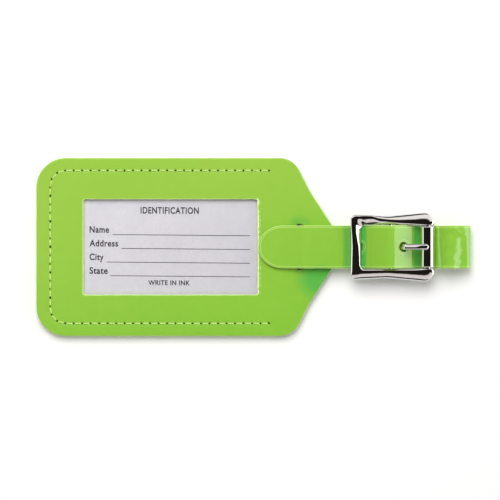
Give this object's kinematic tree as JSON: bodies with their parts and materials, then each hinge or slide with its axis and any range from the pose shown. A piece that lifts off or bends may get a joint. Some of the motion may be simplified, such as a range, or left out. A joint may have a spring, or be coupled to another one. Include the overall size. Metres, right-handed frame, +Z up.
{
  "type": "luggage tag",
  "caption": "Flat vinyl luggage tag with a clear card window, and a short strap through its slot, closed by a roller buckle.",
  "frame": {"origin": "under the middle of the whole object, on the surface that it lies on", "axes": "+X from the tag along its strap towards the loop, +Y across the tag, +Z up through the window face"},
  "size_m": [0.1624, 0.0666, 0.0103],
  "materials": {
    "patent_vinyl": "gloss",
    "clear_sheet": "gloss",
    "card_paper": "matte",
    "thread": "matte",
    "rivet_steel": "satin",
    "chrome": "polished"
  },
  "bodies": {
    "strap": {"strap": "patent_vinyl", "fold_rivet": "rivet_steel", "buckle_frame": "chrome", "center_bar": "chrome"},
    "tag": {"front_panel": "patent_vinyl", "back_panel": "patent_vinyl", "window_sheet": "clear_sheet", "needle_thread": "thread", "bobbin_thread": "thread"},
    "card": {"id_card": "card_paper"},
    "tip": {"strap_tip": "patent_vinyl"},
    "roller": {"roller": "chrome"},
    "prong": {"prong": "chrome"}
  },
  "joints": [
    {"name": "tag_swing", "type": "hinge", "parent": "strap", "child": "tag", "pos_m": [0.0336, 0, 0.0026], "axis": [0, 1, 0], "range_deg": [-35, 35], "stiffness_Nm_per_rad": 0.05, "deforming": ["strap"]},
    {"name": "tip_lift", "type": "hinge", "parent": "tag", "child": "tip", "pos_m": [0.0283, 0, 0.0049], "axis": [0, 1, 0], "range_deg": [0, 50], "stiffness_Nm_per_rad": 0.002, "springref_deg": -8.59, "deforming": ["strap"]},
    {"name": "card_slide", "type": "slide", "parent": "tag", "child": "card", "axis": [1, 0, 0], "range_m": [0, 0.0026]},
    {"name": "roller_spin", "type": "hinge", "parent": "strap", "child": "roller", "pos_m": [0.06475, 0, 0.006], "axis": [0, 1, 0], "continuous": true},
    {"name": "prong_swing", "type": "hinge", "parent": "strap", "child": "prong", "pos_m": [0.0508, 0, 0.006], "axis": [0, -1, 0], "range_deg": [0, 14]}
  ]
}
